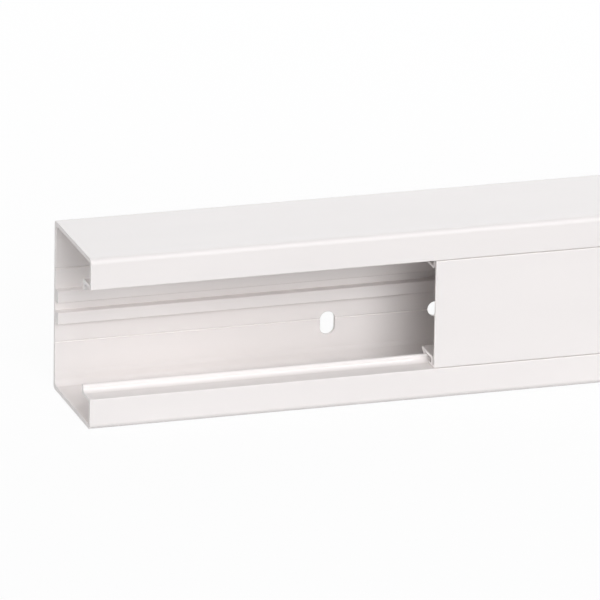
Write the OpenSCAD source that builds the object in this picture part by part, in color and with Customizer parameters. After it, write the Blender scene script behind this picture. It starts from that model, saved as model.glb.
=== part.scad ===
// Cable trunking: an extruded base with a snap-on front lid, drawn back to show the inside.
// X runs along the length, the open front faces -Y, and the base stands on its lower side wall.
// The origin is the centre of the face that it stands on.

/* [Trunking] */
// Length of the base and of the lid
length = 2000; // [1000:50:3000]
// Height over the two side walls
height = 75; // [65:1:120]
// Depth from the front face to the back face
depth = 55; // [45:1:90]
// Thickness of the side walls, the back and the lips
wall = 2; // [1.6:0.1:2.6]
// Outer radius of the two front corners
front_r = 2.5; // [1:0.1:4]
// Outer radius of the two back corners
back_r = 2; // [1:0.1:4]
// Radius of the small front edges along the opening
edge_r = 0.5; // [0.2:0.1:0.9]
// Radius of the inner corners behind each lip
inner_r = 0.8; // [0.4:0.1:1.5]

/* [Front opening] */
// Clear width between the two lips
opening = 48; // [40:0.5:52]
// Thickness of the return that runs back from each lip
return_t = 1.6; // [1.2:0.1:2.4]
// Distance from the front face to the leg behind each lip
leg_setback = 10.4; // [9:0.1:12]
// Thickness of each leg
leg_t = 1.8; // [1.4:0.1:2.4]
// How far each leg rises above its return
leg_rise = 3.2; // [3:0.1:5]
// Diameter of the bead along the top of each leg
bead_d = 2.4; // [1.8:0.1:2.8]
// Radius of the gutter between a return and its leg
gutter_r = 2.6; // [1.5:0.1:3]

/* [Rail] */
// Width over the two ribs of the rail
rail_w = 14.9; // [12:0.1:20]
// Width of the slot between the two ribs
rail_slot = 4.2; // [3:0.1:6]
// How far the ribs stand out from the back wall
rail_proud = 4.2; // [3:0.1:9]

/* [Back wall] */
// Distance of each drilling groove from the middle of the back
groove_offset = 16.4; // [14:0.1:24]
// Width of a drilling groove
groove_w = 0.9; // [0.5:0.1:1.4]
// Depth of a drilling groove
groove_depth = 0.4; // [0.2:0.1:0.8]
// Width of the flat ledge in each back corner
ledge_w = 4.2; // [3:0.1:6]
// Width of the ramp up to each ledge
ledge_ramp = 1.9; // [1:0.1:3]
// How far each ledge stands out from the back wall
ledge_t = 0.4; // [0.2:0.1:1.2]
// Radius between each ledge and its side wall
ledge_r = 2.4; // [1:0.1:2.8]

/* [Fixing slots] */
// Width of a slot
slot_w = 6.6; // [5:0.1:8]
// Length of a slot from end to end
slot_l = 10.4; // [9:0.1:14]
// Distance from each end of the base to the middle of the nearest slot pair
pair_inset = 145.5; // [80:0.5:200]
// Distance between the upright and the lying slot of a pair
pair_gap = 50; // [30:0.5:80]
// Distance between slot pairs to aim at
pair_pitch = 340; // [200:5:500]
// How far the upright slots are centred outside the drilling groove
upright_shift = 2.2; // [0:0.1:3]

/* [Lid] */
// How far the lid is drawn back from the end of the base
lid_draw = 151; // [0:1:300]
// Thickness of the lid face
lid_t = 1.5; // [1.2:0.1:2]
// Gap between the lid and the base
clearance = 0.2; // [0.15:0.05:0.4]
// Thickness of the outer flange of each clip
flange_t = 1; // [0.8:0.1:1.4]
// Thickness of the arm of each clip
arm_t = 1.1; // [0.9:0.1:1.6]
// Thickness of the upright of each clip
upright_t = 1.2; // [1:0.1:1.6]
// Width of the relief between the lid face and each upright
relief_w = 1.5; // [0.5:0.1:2.5]
// Outer radius where the upright bends into the arm
bend_r = 1.2; // [0.6:0.1:1.2]
// Radius of the inner corners of each clip
clip_r = 0.7; // [0.3:0.1:1]
// How far the barb drops behind the bead
barb_drop = 1.7; // [1:0.1:2]
// Thickness of the barb at its tip
barb_t = 1.4; // [1:0.1:2]
// Length of the grip behind the barb
grip_l = 3; // [2:0.1:6]
// Lift of the end of the grip
grip_lift = 0.2; // [0:0.1:1]

/* [Hidden] */
$fn = 48;
// How far a cut runs past a face
eps = 0.1;
// How far joined shapes run into each other
bite = 0.4;
plastic = [0.93, 0.91, 0.905];

// Back wall
back_in = depth - wall;
rail_front = back_in - rail_proud;
ledge_edge = height / 2 - wall - ledge_w;

// Front opening
leg_back = leg_setback + leg_t;
bead_x = leg_setback + leg_t / 2;
bead_y = opening / 2 - leg_rise + bead_d / 2;

// Slot pairs, spread evenly between the two end pairs
pair_span = length - 2 * pair_inset;
pair_steps = max(1, round(pair_span / pair_pitch));
pair_x = [for (i = [0:pair_steps]) pair_inset + i * pair_span / pair_steps];

// Lid, measured inward from its own edges
lid_w = opening - 2 * clearance;
arm_low = leg_rise;
arm_high = arm_low + arm_t;
flange_end = leg_setback - gutter_r - clearance;
upright_x = lid_t + relief_w;
upright_end = upright_x + upright_t;
barb_x = bead_x + bead_d / 2 + clearance;
barb_low = arm_low - barb_drop;
grip_x = barb_x + barb_t;
grip_end = grip_x + grip_l;

// What is cut off a square corner at the origin to round it
module corner_cut(r) {
    difference() {
        translate([-eps, -eps]) square(r + eps);
        translate([r, r]) circle(r);
    }
}

// What fills an inner corner at the origin with a round
module corner_fill(r) {
    difference() {
        translate([-bite, -bite]) square(r + bite);
        translate([r, r]) circle(r);
    }
}

// The same shape on the upper and the lower side of the section
module both_sides() {
    children();
    mirror([0, 1]) children();
}

// Turns a section, drawn with depth across and height up, into a length of profile
module profile(start, run) {
    translate([start - length / 2, -depth / 2, height / 2])
        rotate([90, 0, 90])
            linear_extrude(run) children();
}

// Back wall, side walls and the two front walls that make the lips
module shell_section() {
    difference() {
        translate([0, -height / 2]) square([depth, height]);
        translate([wall, wall - height / 2]) square([depth - 2 * wall, height - 2 * wall]);
        translate([-eps, -opening / 2]) square([wall + 2 * eps, opening]);
        both_sides() {
            translate([0, height / 2]) mirror([0, 1]) corner_cut(front_r);
            translate([depth, height / 2]) rotate(180) corner_cut(back_r);
        }
    }
}

// Return behind a lip with its leg, the gutter between them, the bead on top and the inner corners
module lip_section() {
    difference() {
        union() {
            translate([edge_r, opening / 2]) square([leg_back - edge_r, return_t]);
            translate([leg_setback, bead_y]) square([leg_t, opening / 2 + bite - bead_y]);
            translate([bead_x, bead_y]) circle(bead_d / 2);
            translate([leg_setback, opening / 2]) rotate(180) corner_fill(gutter_r);
            translate([wall, opening / 2 + return_t]) corner_fill(inner_r);
            translate([wall, height / 2 - wall]) mirror([0, 1]) corner_fill(inner_r);
        }
        translate([leg_back, opening / 2 + return_t]) rotate(180) corner_cut(return_t / 2);
    }
}

// One of the two ribs that hold a divider's foot between them
module rail_section() {
    difference() {
        translate([rail_front, rail_slot / 2]) square([rail_proud + bite, (rail_w - rail_slot) / 2]);
        translate([rail_front, rail_w / 2]) mirror([0, 1]) corner_cut(edge_r);
        translate([rail_front, rail_slot / 2]) corner_cut(edge_r);
    }
}

// Ledge in a back corner, with the ramp that leads up to it
module ledge_section() {
    polygon([
        [back_in + bite, height / 2 - wall + bite],
        [back_in - ledge_t, height / 2 - wall + bite],
        [back_in - ledge_t, ledge_edge],
        [back_in, ledge_edge - ledge_ramp],
        [back_in + bite, ledge_edge - ledge_ramp],
    ]);
    translate([back_in - ledge_t, height / 2 - wall]) rotate(180) corner_fill(ledge_r);
}

// V-shaped line that guides a drill
module groove_section() {
    polygon([
        [back_in - eps, groove_offset - groove_w / 2],
        [back_in + groove_depth, groove_offset],
        [back_in - eps, groove_offset + groove_w / 2],
    ]);
}

module base_section() {
    difference() {
        union() {
            shell_section();
            both_sides() {
                lip_section();
                rail_section();
                ledge_section();
            }
        }
        both_sides() {
            groove_section();
            translate([0, opening / 2]) corner_cut(edge_r);
        }
    }
}

// Slot through the back wall, drawn lying along the length
module slot() {
    cut = wall + 2 * groove_depth;
    half_run = (slot_l - slot_w) / 2;
    for (end = [-1, 1])
        translate([end * half_run, 0, 0]) rotate([-90, 0, 0]) cylinder(d = slot_w, h = cut);
    translate([-half_run, 0, -slot_w / 2]) cube([2 * half_run, cut, slot_w]);
}

// Both rows of slots: pairs of an upright and a lying slot
module fixing_slots() {
    for (x = pair_x, side = [-1, 1])
        translate([x - length / 2, depth / 2 - wall - groove_depth, height / 2]) {
            translate([-pair_gap / 2, 0, side * (groove_offset + upright_shift)]) rotate([0, 90, 0]) slot();
            translate([pair_gap / 2, 0, side * groove_offset]) slot();
        }
}

module base() {
    color(plastic) difference() {
        profile(0, length) base_section();
        fixing_slots();
    }
}

// Clip along a lid edge, drawn with the edge at the origin and the middle of the lid upward
module clip_section() {
    // Flange in front of the leg
    difference() {
        square([flange_end, flange_t]);
        translate([flange_end, flange_t]) rotate(180) corner_cut(flange_t / 2);
    }
    // Upright that bends into the arm over the bead
    difference() {
        union() {
            translate([upright_x, 0]) square([upright_t, arm_high]);
            translate([upright_x, arm_low]) square([grip_x - upright_x, arm_t]);
        }
        translate([upright_x, arm_high]) mirror([0, 1]) corner_cut(bend_r);
    }
    translate([upright_end, flange_t]) corner_fill(clip_r);
    translate([upright_end, arm_low]) mirror([0, 1]) corner_fill(clip_r);
    // Barb behind the bead and the grip that lifts it off
    polygon([
        [barb_x, arm_high],
        [barb_x, barb_low + barb_t / 2],
        [barb_x + barb_t / 2, barb_low],
        [grip_x, barb_low],
        [grip_end, arm_low + grip_lift],
        [grip_end, arm_high + grip_lift],
        [grip_x, arm_high],
    ]);
}

module lid_section() {
    difference() {
        translate([0, -lid_w / 2]) square([lid_t, lid_w]);
        both_sides() translate([0, lid_w / 2]) mirror([0, 1]) corner_cut(edge_r);
    }
    both_sides() difference() {
        translate([0, -lid_w / 2]) clip_section();
        translate([0, -lid_w / 2]) corner_cut(edge_r);
    }
}

module lid() {
    color(plastic) profile(lid_draw, length) lid_section();
}

base();
lid();
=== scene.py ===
"""Looks of the cable trunking: fine profiles, white plastic, a pale floor, soft light and the camera."""
import math

import bmesh
import bpy
from mathutils import Matrix, Vector


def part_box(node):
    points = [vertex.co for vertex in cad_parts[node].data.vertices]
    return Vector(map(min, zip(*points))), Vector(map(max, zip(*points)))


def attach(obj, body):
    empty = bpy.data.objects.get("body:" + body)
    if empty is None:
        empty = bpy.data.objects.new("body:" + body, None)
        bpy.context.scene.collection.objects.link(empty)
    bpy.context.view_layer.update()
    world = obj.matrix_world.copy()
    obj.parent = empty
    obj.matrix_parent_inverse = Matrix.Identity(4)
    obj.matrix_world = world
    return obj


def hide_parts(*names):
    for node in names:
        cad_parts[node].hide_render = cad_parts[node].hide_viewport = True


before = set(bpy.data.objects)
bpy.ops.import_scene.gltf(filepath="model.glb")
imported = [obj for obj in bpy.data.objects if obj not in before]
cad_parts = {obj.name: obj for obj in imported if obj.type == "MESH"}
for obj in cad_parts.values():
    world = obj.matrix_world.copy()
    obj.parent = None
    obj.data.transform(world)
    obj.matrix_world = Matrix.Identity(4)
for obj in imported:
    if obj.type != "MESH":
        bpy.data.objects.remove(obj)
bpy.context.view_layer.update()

MM = 0.001

# Section of the base, in millimetres: depth from the front face, height from the middle of the section
HEIGHT = 75
DEPTH = 55
WALL = 2
FRONT_R = 2.5
BACK_R = 2
EDGE_R = 0.5
INNER_R = 0.8

# Front opening of the base
OPENING = 48
RETURN_T = 1.6
LEG_SETBACK = 10.4
LEG_T = 1.8
LEG_RISE = 3.2
BEAD_R = 1.2
GUTTER_R = 2.6

# Rail, drilling grooves and ledges on the back wall
RAIL_W = 14.9
RAIL_SLOT = 4.2
RAIL_PROUD = 4.2
GROOVE_OFFSET = 16.4
GROOVE_W = 0.9
GROOVE_DEPTH = 0.4
LEDGE_W = 4.2
LEDGE_RAMP = 1.9
LEDGE_T = 0.4
LEDGE_R = 2.4

# Fixing slots in the back wall, in pairs of an upright and a lying slot
SLOT_W = 6.6
SLOT_L = 10.4
PAIR_INSET = 145.5
PAIR_GAP = 50
PAIR_COUNT = 6
UPRIGHT_SHIFT = 2.2
SLOT_EASE = 0.1

# Lid and its clips
LID_T = 1.5
CLEARANCE = 0.2
FLANGE_T = 1
ARM_T = 1.1
UPRIGHT_T = 1.2
RELIEF_W = 1.5
BEND_R = 1.2
CLIP_R = 0.7
BARB_DROP = 1.7
BARB_T = 1.4
GRIP_L = 3
GRIP_LIFT = 0.2

# How finely the profiles are drawn: step along a round in degrees, radius of the plain corners, easing of
# the cut ends, and the least divisor there, which keeps sharp corners from being drawn in too far
ARC_STEP = 7.5
SOFT_R = 0.18
END_EASE = 0.1
MITRE_LIMIT = 0.3

# Shading: edges that turn by more degrees than this stay sharp, and large faces outweigh small ones
SHARP_ANGLE = 25
LARGE_FACE_WEIGHT = 100

# Places that follow from the sizes
BACK_IN = DEPTH - WALL
LEG_BACK = LEG_SETBACK + LEG_T
BEAD_DEPTH = LEG_SETBACK + LEG_T / 2
BEAD_HEIGHT = OPENING / 2 - LEG_RISE + BEAD_R
LID_HALF = OPENING / 2 - CLEARANCE


def arc(centre, radius, start, end):
    """Points along a round from one angle to another, in degrees."""
    across, up = centre
    steps = max(2, math.ceil(abs(end - start) / ARC_STEP))
    angles = [math.radians(start + (end - start) * i / steps) for i in range(steps + 1)]
    return [(across + radius * math.cos(angle), up + radius * math.sin(angle)) for angle in angles]


def rounded(corners):
    """The closed outline through (depth, height, radius) corners, with each corner rounded."""
    points = []
    for i, (depth, height, radius) in enumerate(corners):
        if not radius:
            points.append((depth, height))
            continue
        here = Vector((depth, height))
        before = (Vector(corners[i - 1][:2]) - here).normalized()
        after = (Vector(corners[(i + 1) % len(corners)][:2]) - here).normalized()
        half = before.angle(after) / 2
        centre = here + (before + after).normalized() * radius / math.sin(half)
        first = here + before * radius / math.tan(half) - centre
        last = here + after * radius / math.tan(half) - centre
        start = math.degrees(math.atan2(first.y, first.x))
        turn = math.degrees(math.atan2(last.y, last.x)) - start
        turn = (turn + 180) % 360 - 180
        points += arc(centre, radius, start, start + turn)
    return points


def both_halves(upper):
    """A whole section from the corners of its upper half, which starts and ends on the middle line."""
    lower = [(depth, -height, radius) for depth, height, radius in reversed(upper)]
    return upper + lower[1:-1]


def leg_and_bead():
    """Corners down the gutter, round the bead and up to the back of the leg behind the upper lip."""
    gutter = Vector((LEG_SETBACK - GUTTER_R, OPENING / 2 - GUTTER_R))
    bead = Vector((BEAD_DEPTH, BEAD_HEIGHT))
    across = bead - gutter
    # Where the round of the gutter runs into the bead
    along = (across.length_squared + GUTTER_R ** 2 - BEAD_R ** 2) / (2 * across.length)
    aside = math.sqrt(GUTTER_R ** 2 - along ** 2)
    direction = across.normalized()
    meet = gutter + direction * along + Vector((-direction.y, direction.x)) * aside
    gutter_end = math.degrees(math.atan2(*reversed(meet - gutter)))
    bead_start = math.degrees(math.atan2(*reversed(meet - bead)))
    bead_end = math.degrees(math.acos(LEG_T / 2 / BEAD_R))
    points = arc(gutter, GUTTER_R, 90, gutter_end)
    points += arc(bead, BEAD_R, bead_start, 360 + bead_end)[1:]
    return [(depth, height, 0) for depth, height in points]


def base_corners():
    """Corners of the base's upper half, counter-clockwise from the back's outside to the back's inside."""
    top = HEIGHT / 2
    lip = OPENING / 2
    rail_front = BACK_IN - RAIL_PROUD
    ledge_face = BACK_IN - LEDGE_T
    ledge_edge = top - WALL - LEDGE_W
    return [
        (DEPTH, 0, 0),
        (DEPTH, top, BACK_R),
        (0, top, FRONT_R),
        (0, lip, EDGE_R),
        *leg_and_bead(),
        (LEG_BACK, lip + RETURN_T, RETURN_T / 2),
        (WALL, lip + RETURN_T, INNER_R),
        (WALL, top - WALL, INNER_R),
        (ledge_face, top - WALL, LEDGE_R),
        (ledge_face, ledge_edge, SOFT_R),
        (BACK_IN, ledge_edge - LEDGE_RAMP, SOFT_R),
        (BACK_IN, GROOVE_OFFSET + GROOVE_W / 2, 0),
        (BACK_IN + GROOVE_DEPTH, GROOVE_OFFSET, 0),
        (BACK_IN, GROOVE_OFFSET - GROOVE_W / 2, 0),
        (BACK_IN, RAIL_W / 2, SOFT_R),
        (rail_front, RAIL_W / 2, EDGE_R),
        (rail_front, RAIL_SLOT / 2, EDGE_R),
        (BACK_IN, RAIL_SLOT / 2, SOFT_R),
        (BACK_IN, 0, 0),
    ]


def lid_corners():
    """Corners of the lid's upper half, counter-clockwise from the back of the plate to its front."""
    upright = LID_T + RELIEF_W
    barb = BEAD_DEPTH + BEAD_R + CLEARANCE
    grip = barb + BARB_T
    arm_outer = LID_HALF - LEG_RISE
    arm_inner = arm_outer - ARM_T
    barb_tip = arm_outer + BARB_DROP
    flange_end = LEG_SETBACK - GUTTER_R - CLEARANCE
    flange_inner = LID_HALF - FLANGE_T
    return [
        (LID_T, 0, 0),
        (LID_T, flange_inner, SOFT_R),
        (upright, flange_inner, SOFT_R),
        (upright, arm_inner, BEND_R),
        (grip, arm_inner, 0),
        (grip + GRIP_L, arm_inner - GRIP_LIFT, SOFT_R),
        (grip + GRIP_L, arm_outer - GRIP_LIFT, SOFT_R),
        (grip, barb_tip, SOFT_R),
        (barb + BARB_T / 2, barb_tip, SOFT_R),
        (barb, barb_tip - BARB_T / 2, SOFT_R),
        (barb, arm_outer, SOFT_R),
        (upright + UPRIGHT_T, arm_outer, CLIP_R),
        (upright + UPRIGHT_T, flange_inner, CLIP_R),
        (flange_end, flange_inner, FLANGE_T / 2),
        (flange_end, LID_HALF, SOFT_R),
        (0, LID_HALF, EDGE_R),
        (0, 0, 0),
    ]


def inset(points, amount):
    """The outline, listed counter-clockwise, drawn in by an even amount."""
    moved = []
    for i, point in enumerate(points):
        here = Vector(point)
        before = (here - Vector(points[i - 1])).normalized()
        after = (Vector(points[(i + 1) % len(points)]) - here).normalized()
        left = Vector((-before.y - after.y, before.x + after.x)).normalized()
        side = Vector((-before.y, before.x))
        moved.append(here + left * amount / max(MITRE_LIMIT, left.dot(side)))
    return moved


def loft(name, rings):
    """A closed mesh object through rings of as many points each, in millimetres of the shared frame."""
    shape = bmesh.new()
    loops = [[shape.verts.new(Vector(point) * MM) for point in ring] for ring in rings]
    for low, high in zip(loops, loops[1:]):
        for i, corner in enumerate(low):
            shape.faces.new((low[i - 1], corner, high[i], high[i - 1]))
    shape.faces.new(loops[0])
    shape.faces.new(loops[-1])
    bmesh.ops.recalc_face_normals(shape, faces=shape.faces)
    mesh = bpy.data.meshes.new(name)
    shape.to_mesh(mesh)
    shape.free()
    made = bpy.data.objects.new(name, mesh)
    bpy.context.scene.collection.objects.link(made)
    return made


def profile(name, corners, node):
    """A length of profile as long as its CAD node, with its cut ends slightly eased."""
    outline = rounded(both_halves(corners))
    eased = inset(outline, END_EASE)
    low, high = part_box(node)
    start = low.x / MM
    end = high.x / MM
    stations = [(start, eased), (start + END_EASE, outline), (end - END_EASE, outline), (end, eased)]
    rings = []
    for x, ring in stations:
        rings.append([(x, depth - DEPTH / 2, height + HEIGHT / 2) for depth, height in ring])
    return loft(name, rings)


def slot_outline(x, z, reach, upright):
    """The outline of one slot, grown all round by a reach, as (x, z) points."""
    run = (SLOT_L - SLOT_W) / 2
    radius = SLOT_W / 2 + reach
    ends = arc((run, 0), radius, -90, 90) + arc((-run, 0), radius, 90, 270)
    if upright:
        ends = [(-up, along) for along, up in ends]
    return [(x + along, z + up) for along, up in ends]


def slot_cutter(x, z, upright):
    """A plug through the back wall that cuts one slot with eased edges on both faces."""
    inside = BACK_IN - DEPTH / 2
    outside = DEPTH / 2
    levels = [
        (inside - SLOT_EASE, 2 * SLOT_EASE),
        (inside + SLOT_EASE, 0),
        (outside - SLOT_EASE, 0),
        (outside + SLOT_EASE, 2 * SLOT_EASE),
    ]
    rings = []
    for y, reach in levels:
        rings.append([(along, y, up) for along, up in slot_outline(x, z, reach, upright)])
    return loft("slot_cutter", rings)


def cut_slots(base):
    """Cuts both rows of fixing slots into the back wall of the base."""
    low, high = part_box("base")
    first = low.x / MM + PAIR_INSET
    last = high.x / MM - PAIR_INSET
    cutters = []
    for i in range(PAIR_COUNT):
        x = first + (last - first) * i / (PAIR_COUNT - 1)
        for side in (-1, 1):
            upright_z = HEIGHT / 2 + side * (GROOVE_OFFSET + UPRIGHT_SHIFT)
            lying_z = HEIGHT / 2 + side * GROOVE_OFFSET
            cutters.append(slot_cutter(x - PAIR_GAP / 2, upright_z, True))
            cutters.append(slot_cutter(x + PAIR_GAP / 2, lying_z, False))
    group = bpy.data.collections.new("slot_cutters")
    for cutter in cutters:
        group.objects.link(cutter)
    cut = base.modifiers.new("slots", "BOOLEAN")
    cut.operand_type = "COLLECTION"
    cut.collection = group
    cut.solver = "EXACT"
    bpy.context.view_layer.update()
    evaluated = base.evaluated_get(bpy.context.evaluated_depsgraph_get())
    base.data = bpy.data.meshes.new_from_object(evaluated)
    base.modifiers.clear()
    for cutter in cutters:
        bpy.data.objects.remove(cutter)
    bpy.data.collections.remove(group)


def smooth(obj):
    """Shades rounds smooth and keeps flat faces flat."""
    obj.data.shade_smooth()
    obj.data.set_sharp_from_angle(angle=math.radians(SHARP_ANGLE))
    weighted = obj.modifiers.new("flat_faces", "WEIGHTED_NORMAL")
    weighted.weight = LARGE_FACE_WEIGHT
    weighted.keep_sharp = True


# Plastic: its colour, the tone of its mottle's darker side, its refraction, and the ranges of its roughness
WHITE = (0.908, 0.862, 0.842)
MOTTLE_TONE = 0.975
PLASTIC_IOR = 1.5
SKIN_ROUGHNESS = (0.25, 0.262)
SAWN_ROUGHNESS = (0.6, 0.72)

# Tone of painted shade on the sawn ends against the skin: the base's ends are darkened to stand in for
# shade, the lid's are not
BASE_SAWN_SHADE = 0.8
LID_SAWN_SHADE = 1

# Noise: its scale along each axis, in cycles a metre, and its detail
STREAKS = ((1.5, 900, 900), 3)
MOTTLE = ((9, 30, 30), 2)
GRAIN = ((2600, 2600, 2600), 2)
SAW_MARKS = ((400, 2400, 160), 2)

# Fine relief: its strength, and its height in metres
LINE_RELIEF = (0.03, 0.00004)
GRAIN_RELIEF = (0.12, 0.00003)

# Ranges that are spread over others: where most noise lies, how squarely a sawn end looks along the length
NOISE_RANGE = (0.3, 0.7)
SAWN_RANGE = (0.75, 0.95)
FULL_RANGE = (0, 1)


def noise(tree, place, settings):
    """Noise with its own scale along each axis."""
    scale, detail = settings
    spread = tree.nodes.new("ShaderNodeMapping")
    spread.inputs["Scale"].default_value = scale
    tree.links.new(place, spread.inputs["Vector"])
    texture = tree.nodes.new("ShaderNodeTexNoise")
    texture.inputs["Scale"].default_value = 1
    texture.inputs["Detail"].default_value = detail
    tree.links.new(spread.outputs["Vector"], texture.inputs["Vector"])
    return texture.outputs["Fac"]


def remap(tree, value, source, target):
    """Spreads one range of a value over another."""
    node = tree.nodes.new("ShaderNodeMapRange")
    node.inputs["From Min"].default_value = source[0]
    node.inputs["From Max"].default_value = source[1]
    node.inputs["To Min"].default_value = target[0]
    node.inputs["To Max"].default_value = target[1]
    tree.links.new(value, node.inputs["Value"])
    return node.outputs["Result"]


def sawn_ends(tree, normal):
    """One on the sawn ends, which face along the length, and nought elsewhere."""
    split = tree.nodes.new("ShaderNodeSeparateXYZ")
    tree.links.new(normal, split.inputs["Vector"])
    along = tree.nodes.new("ShaderNodeMath")
    along.operation = "ABSOLUTE"
    tree.links.new(split.outputs["X"], along.inputs[0])
    return remap(tree, along.outputs["Value"], SAWN_RANGE, FULL_RANGE)


def mix(tree, kind, factor, first, second):
    """Goes from one colour or value to another by a factor."""
    node = tree.nodes.new("ShaderNodeMix")
    node.data_type = kind
    tree.links.new(factor, node.inputs[0])
    ends = [socket for socket in node.inputs if socket.enabled and socket.name in ("A", "B")]
    for socket, value in zip(ends, (first, second)):
        if isinstance(value, bpy.types.NodeSocket):
            tree.links.new(value, socket)
        else:
            socket.default_value = value
    return [socket for socket in node.outputs if socket.enabled][0]


def relief(tree, height, settings, under=None):
    """Fine relief, which may be laid over another one."""
    strength, distance = settings
    node = tree.nodes.new("ShaderNodeBump")
    node.inputs["Strength"].default_value = strength
    node.inputs["Distance"].default_value = distance
    tree.links.new(height, node.inputs["Height"])
    if under:
        tree.links.new(under, node.inputs["Normal"])
    return node.outputs["Normal"]


def toned(colour, tone):
    """A colour times a tone, opaque."""
    return (*[channel * tone for channel in colour], 1)


def plastic(name, colour, sawn_shade):
    """Satin extruded plastic: faint lines along the length, a slight mottle, and matt sawn ends, darkened
    by a tone as painted shade.
    """
    material = bpy.data.materials.new(name)
    material.use_nodes = True
    tree = material.node_tree
    shader = tree.nodes["Principled BSDF"]
    shader.inputs["IOR"].default_value = PLASTIC_IOR
    place = tree.nodes.new("ShaderNodeTexCoord")
    streaks = noise(tree, place.outputs["Object"], STREAKS)
    mottle = noise(tree, place.outputs["Object"], MOTTLE)
    grain = noise(tree, place.outputs["Object"], GRAIN)
    saw = noise(tree, place.outputs["Object"], SAW_MARKS)
    ends = sawn_ends(tree, place.outputs["Normal"])

    patches = remap(tree, mottle, NOISE_RANGE, FULL_RANGE)
    skin_colour = mix(tree, "RGBA", patches, toned(colour, MOTTLE_TONE), toned(colour, 1))
    # The sawn ends take the sawn tone, which darkens them as painted shade
    all_colour = mix(tree, "RGBA", ends, skin_colour, toned(colour, sawn_shade))
    tree.links.new(all_colour, shader.inputs["Base Color"])

    skin_rough = remap(tree, streaks, NOISE_RANGE, SKIN_ROUGHNESS)
    sawn_rough = remap(tree, saw, NOISE_RANGE, SAWN_ROUGHNESS)
    tree.links.new(mix(tree, "FLOAT", ends, skin_rough, sawn_rough), shader.inputs["Roughness"])

    lines = relief(tree, mix(tree, "FLOAT", ends, streaks, saw), LINE_RELIEF)
    tree.links.new(relief(tree, grain, GRAIN_RELIEF, lines), shader.inputs["Normal"])
    return material


def dress(obj, node, material):
    """Puts a piece in place of its CAD node, with its finish."""
    obj.data.materials.clear()
    obj.data.materials.append(material)
    smooth(obj)
    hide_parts(node)
    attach(obj, node)


base = profile("base_profile", base_corners(), "base")
cut_slots(base)
dress(base, "base", plastic("base_white", WHITE, BASE_SAWN_SHADE))

lid = profile("lid_profile", lid_corners(), "lid")
dress(lid, "lid", plastic("lid_white", WHITE, LID_SAWN_SHADE))


# Floor: its size and its gap below the object in metres, its tone to the light, and the share of its own
# white where it is seen directly, which leaves the rest for the object's shadow
FLOOR_SIZE = 160
FLOOR_GAP = 0.0002
FLOOR_TONE = 0.5
FLOOR_WHITE = 0.94
PLAIN_WHITE = (1, 1, 1, 1)

# Colour of the light, and strength of the even light from all round
DAYLIGHT = (0.988, 1, 1.018)
WORLD_STRENGTH = 0.02


def seen_directly(tree):
    """One for rays that show the background itself: from the camera, or through gloss and glass."""
    path = tree.nodes.new("ShaderNodeLightPath")
    first = tree.nodes.new("ShaderNodeMath")
    first.operation = "MAXIMUM"
    tree.links.new(path.outputs["Is Camera Ray"], first.inputs[0])
    tree.links.new(path.outputs["Is Glossy Ray"], first.inputs[1])
    both = tree.nodes.new("ShaderNodeMath")
    both.operation = "MAXIMUM"
    tree.links.new(first.outputs["Value"], both.inputs[0])
    tree.links.new(path.outputs["Is Transmission Ray"], both.inputs[1])
    return both.outputs["Value"]


def floor_material():
    """Pale floor: plain grey to the light, and close to white with a soft shadow where it is seen."""
    material = bpy.data.materials.new("floor")
    material.use_nodes = True
    tree = material.node_tree
    tree.nodes.clear()
    plain = tree.nodes.new("ShaderNodeBsdfDiffuse")
    plain.inputs["Color"].default_value = (FLOOR_TONE, FLOOR_TONE, FLOOR_TONE, 1)
    bright = tree.nodes.new("ShaderNodeBsdfDiffuse")
    bright.inputs["Color"].default_value = PLAIN_WHITE
    glow = tree.nodes.new("ShaderNodeEmission")
    glow.inputs["Strength"].default_value = 1
    white = tree.nodes.new("ShaderNodeMixShader")
    white.inputs["Fac"].default_value = FLOOR_WHITE
    tree.links.new(bright.outputs["BSDF"], white.inputs[1])
    tree.links.new(glow.outputs["Emission"], white.inputs[2])
    choice = tree.nodes.new("ShaderNodeMixShader")
    tree.links.new(seen_directly(tree), choice.inputs["Fac"])
    tree.links.new(plain.outputs["BSDF"], choice.inputs[1])
    tree.links.new(white.outputs["Shader"], choice.inputs[2])
    output = tree.nodes.new("ShaderNodeOutputMaterial")
    tree.links.new(choice.outputs["Shader"], output.inputs["Surface"])
    return material


def make_floor():
    """A large level floor just under the object."""
    half = FLOOR_SIZE / 2
    mesh = bpy.data.meshes.new("floor")
    corners = [(-half, -half, 0), (half, -half, 0), (half, half, 0), (-half, half, 0)]
    mesh.from_pydata(corners, [], [(0, 1, 2, 3)])
    mesh.materials.append(floor_material())
    floor = bpy.data.objects.new("floor", mesh)
    floor.location.z = -FLOOR_GAP
    bpy.context.scene.collection.objects.link(floor)


def make_world():
    """Even light from all round, with a white background behind the floor."""
    world = bpy.data.worlds.new("studio")
    world.use_nodes = True
    tree = world.node_tree
    tree.nodes.clear()
    light = tree.nodes.new("ShaderNodeBackground")
    light.inputs["Color"].default_value = (*DAYLIGHT, 1)
    light.inputs["Strength"].default_value = WORLD_STRENGTH
    white = tree.nodes.new("ShaderNodeBackground")
    white.inputs["Color"].default_value = PLAIN_WHITE
    choice = tree.nodes.new("ShaderNodeMixShader")
    tree.links.new(seen_directly(tree), choice.inputs["Fac"])
    tree.links.new(light.outputs["Background"], choice.inputs[1])
    tree.links.new(white.outputs["Background"], choice.inputs[2])
    output = tree.nodes.new("ShaderNodeOutputWorld")
    tree.links.new(choice.outputs["Shader"], output.inputs["Surface"])
    bpy.context.scene.world = world


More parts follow.
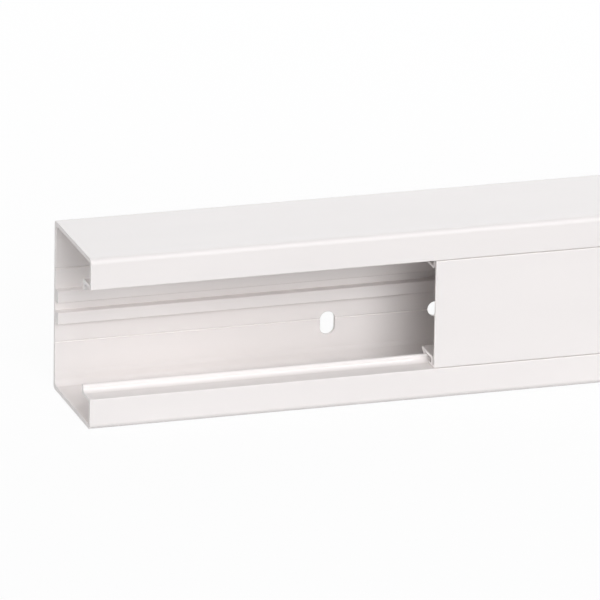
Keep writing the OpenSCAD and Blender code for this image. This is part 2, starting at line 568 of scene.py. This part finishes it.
def soft_light(name, strength, spread, turn, rise, shine):
    """A soft light from far off, by its angles in degrees: spread, turn from the front and rise."""
    lamp = bpy.data.lights.new(name, "SUN")
    lamp.energy = strength * math.pi
    lamp.angle = math.radians(spread)
    lamp.color = DAYLIGHT
    light = bpy.data.objects.new(name, lamp)
    turn = math.radians(turn)
    rise = math.radians(rise)
    back = Vector((math.sin(turn) * math.cos(rise), -math.cos(turn) * math.cos(rise), math.sin(rise)))
    light.rotation_mode = "QUATERNION"
    light.rotation_quaternion = back.to_track_quat("Z", "Y")
    light.visible_glossy = shine
    bpy.context.scene.collection.objects.link(light)


# Long soft box behind and above the object, in metres, and the factor from its strength to its power
STRIP_SIZE = (2.2, 0.5)
STRIP_PLACE = (0, 0.66, 0.53)
STRIP_FACTOR = 4


def strip_light(name, strength):
    """The long soft box, turned to the object, with more power the longer and the farther off it is."""
    lamp = bpy.data.lights.new(name, "AREA")
    lamp.shape = "RECTANGLE"
    lamp.size, lamp.size_y = STRIP_SIZE
    away = Vector(STRIP_PLACE)
    lamp.energy = strength * math.pi * STRIP_FACTOR * away.length * lamp.size
    lamp.color = DAYLIGHT
    light = bpy.data.objects.new(name, lamp)
    light.location = away
    light.rotation_mode = "QUATERNION"
    light.rotation_quaternion = away.to_track_quat("Z", "Y")
    light.visible_camera = False
    bpy.context.scene.collection.objects.link(light)


# Camera, from the photograph's edges: the point it looks at, from the middle of the base's front at the
# open end, its angles in degrees, its distance, lens and sensor in millimetres, and its reach in metres
FOCUS = (91.05, 0, 12.01)
TURN = 17.8
RISE = 18.986
ROLL = -0.96
DISTANCE = 3762
LENS = 540
SENSOR = 36
REACH = 500


def make_camera():
    """A long lens at the photograph's viewing angle."""
    turn = math.radians(TURN)
    rise = math.radians(RISE)
    roll = math.radians(ROLL)
    forward = Vector((math.sin(turn) * math.cos(rise), math.cos(turn) * math.cos(rise), -math.sin(rise)))
    level = Vector((math.cos(turn), -math.sin(turn), 0))
    down = forward.cross(level)
    right = math.cos(roll) * level + math.sin(roll) * down
    below = math.cos(roll) * down - math.sin(roll) * level
    low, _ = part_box("base")
    target = Vector((low.x + FOCUS[0] * MM, (FOCUS[1] - DEPTH / 2) * MM, (FOCUS[2] + HEIGHT / 2) * MM))
    data = bpy.data.cameras.new("camera")
    data.lens = LENS
    data.sensor_width = SENSOR
    data.clip_end = REACH
    camera = bpy.data.objects.new("camera", data)
    turned = Matrix((right, -below, -forward)).transposed().to_4x4()
    camera.matrix_world = Matrix.Translation(target - forward * DISTANCE * MM) @ turned
    bpy.context.scene.collection.objects.link(camera)
    bpy.context.scene.camera = camera


make_floor()
make_world()
soft_light("front", strength=0.478, spread=34, turn=1, rise=19, shine=False)
soft_light("upper", strength=0.185, spread=34, turn=1, rise=32, shine=False)
soft_light("glint", strength=0.092, spread=10, turn=32, rise=46, shine=True)
soft_light("left", strength=0.64, spread=60, turn=-80, rise=20, shine=False)
soft_light("right", strength=0.24, spread=50, turn=98, rise=10, shine=False)
soft_light("behind", strength=0.14, spread=60, turn=180, rise=8, shine=False)
strip_light("strip", strength=0.164)
make_camera()
bpy.context.scene.view_settings.view_transform = "Standard"

bpy.context.view_layer.update()
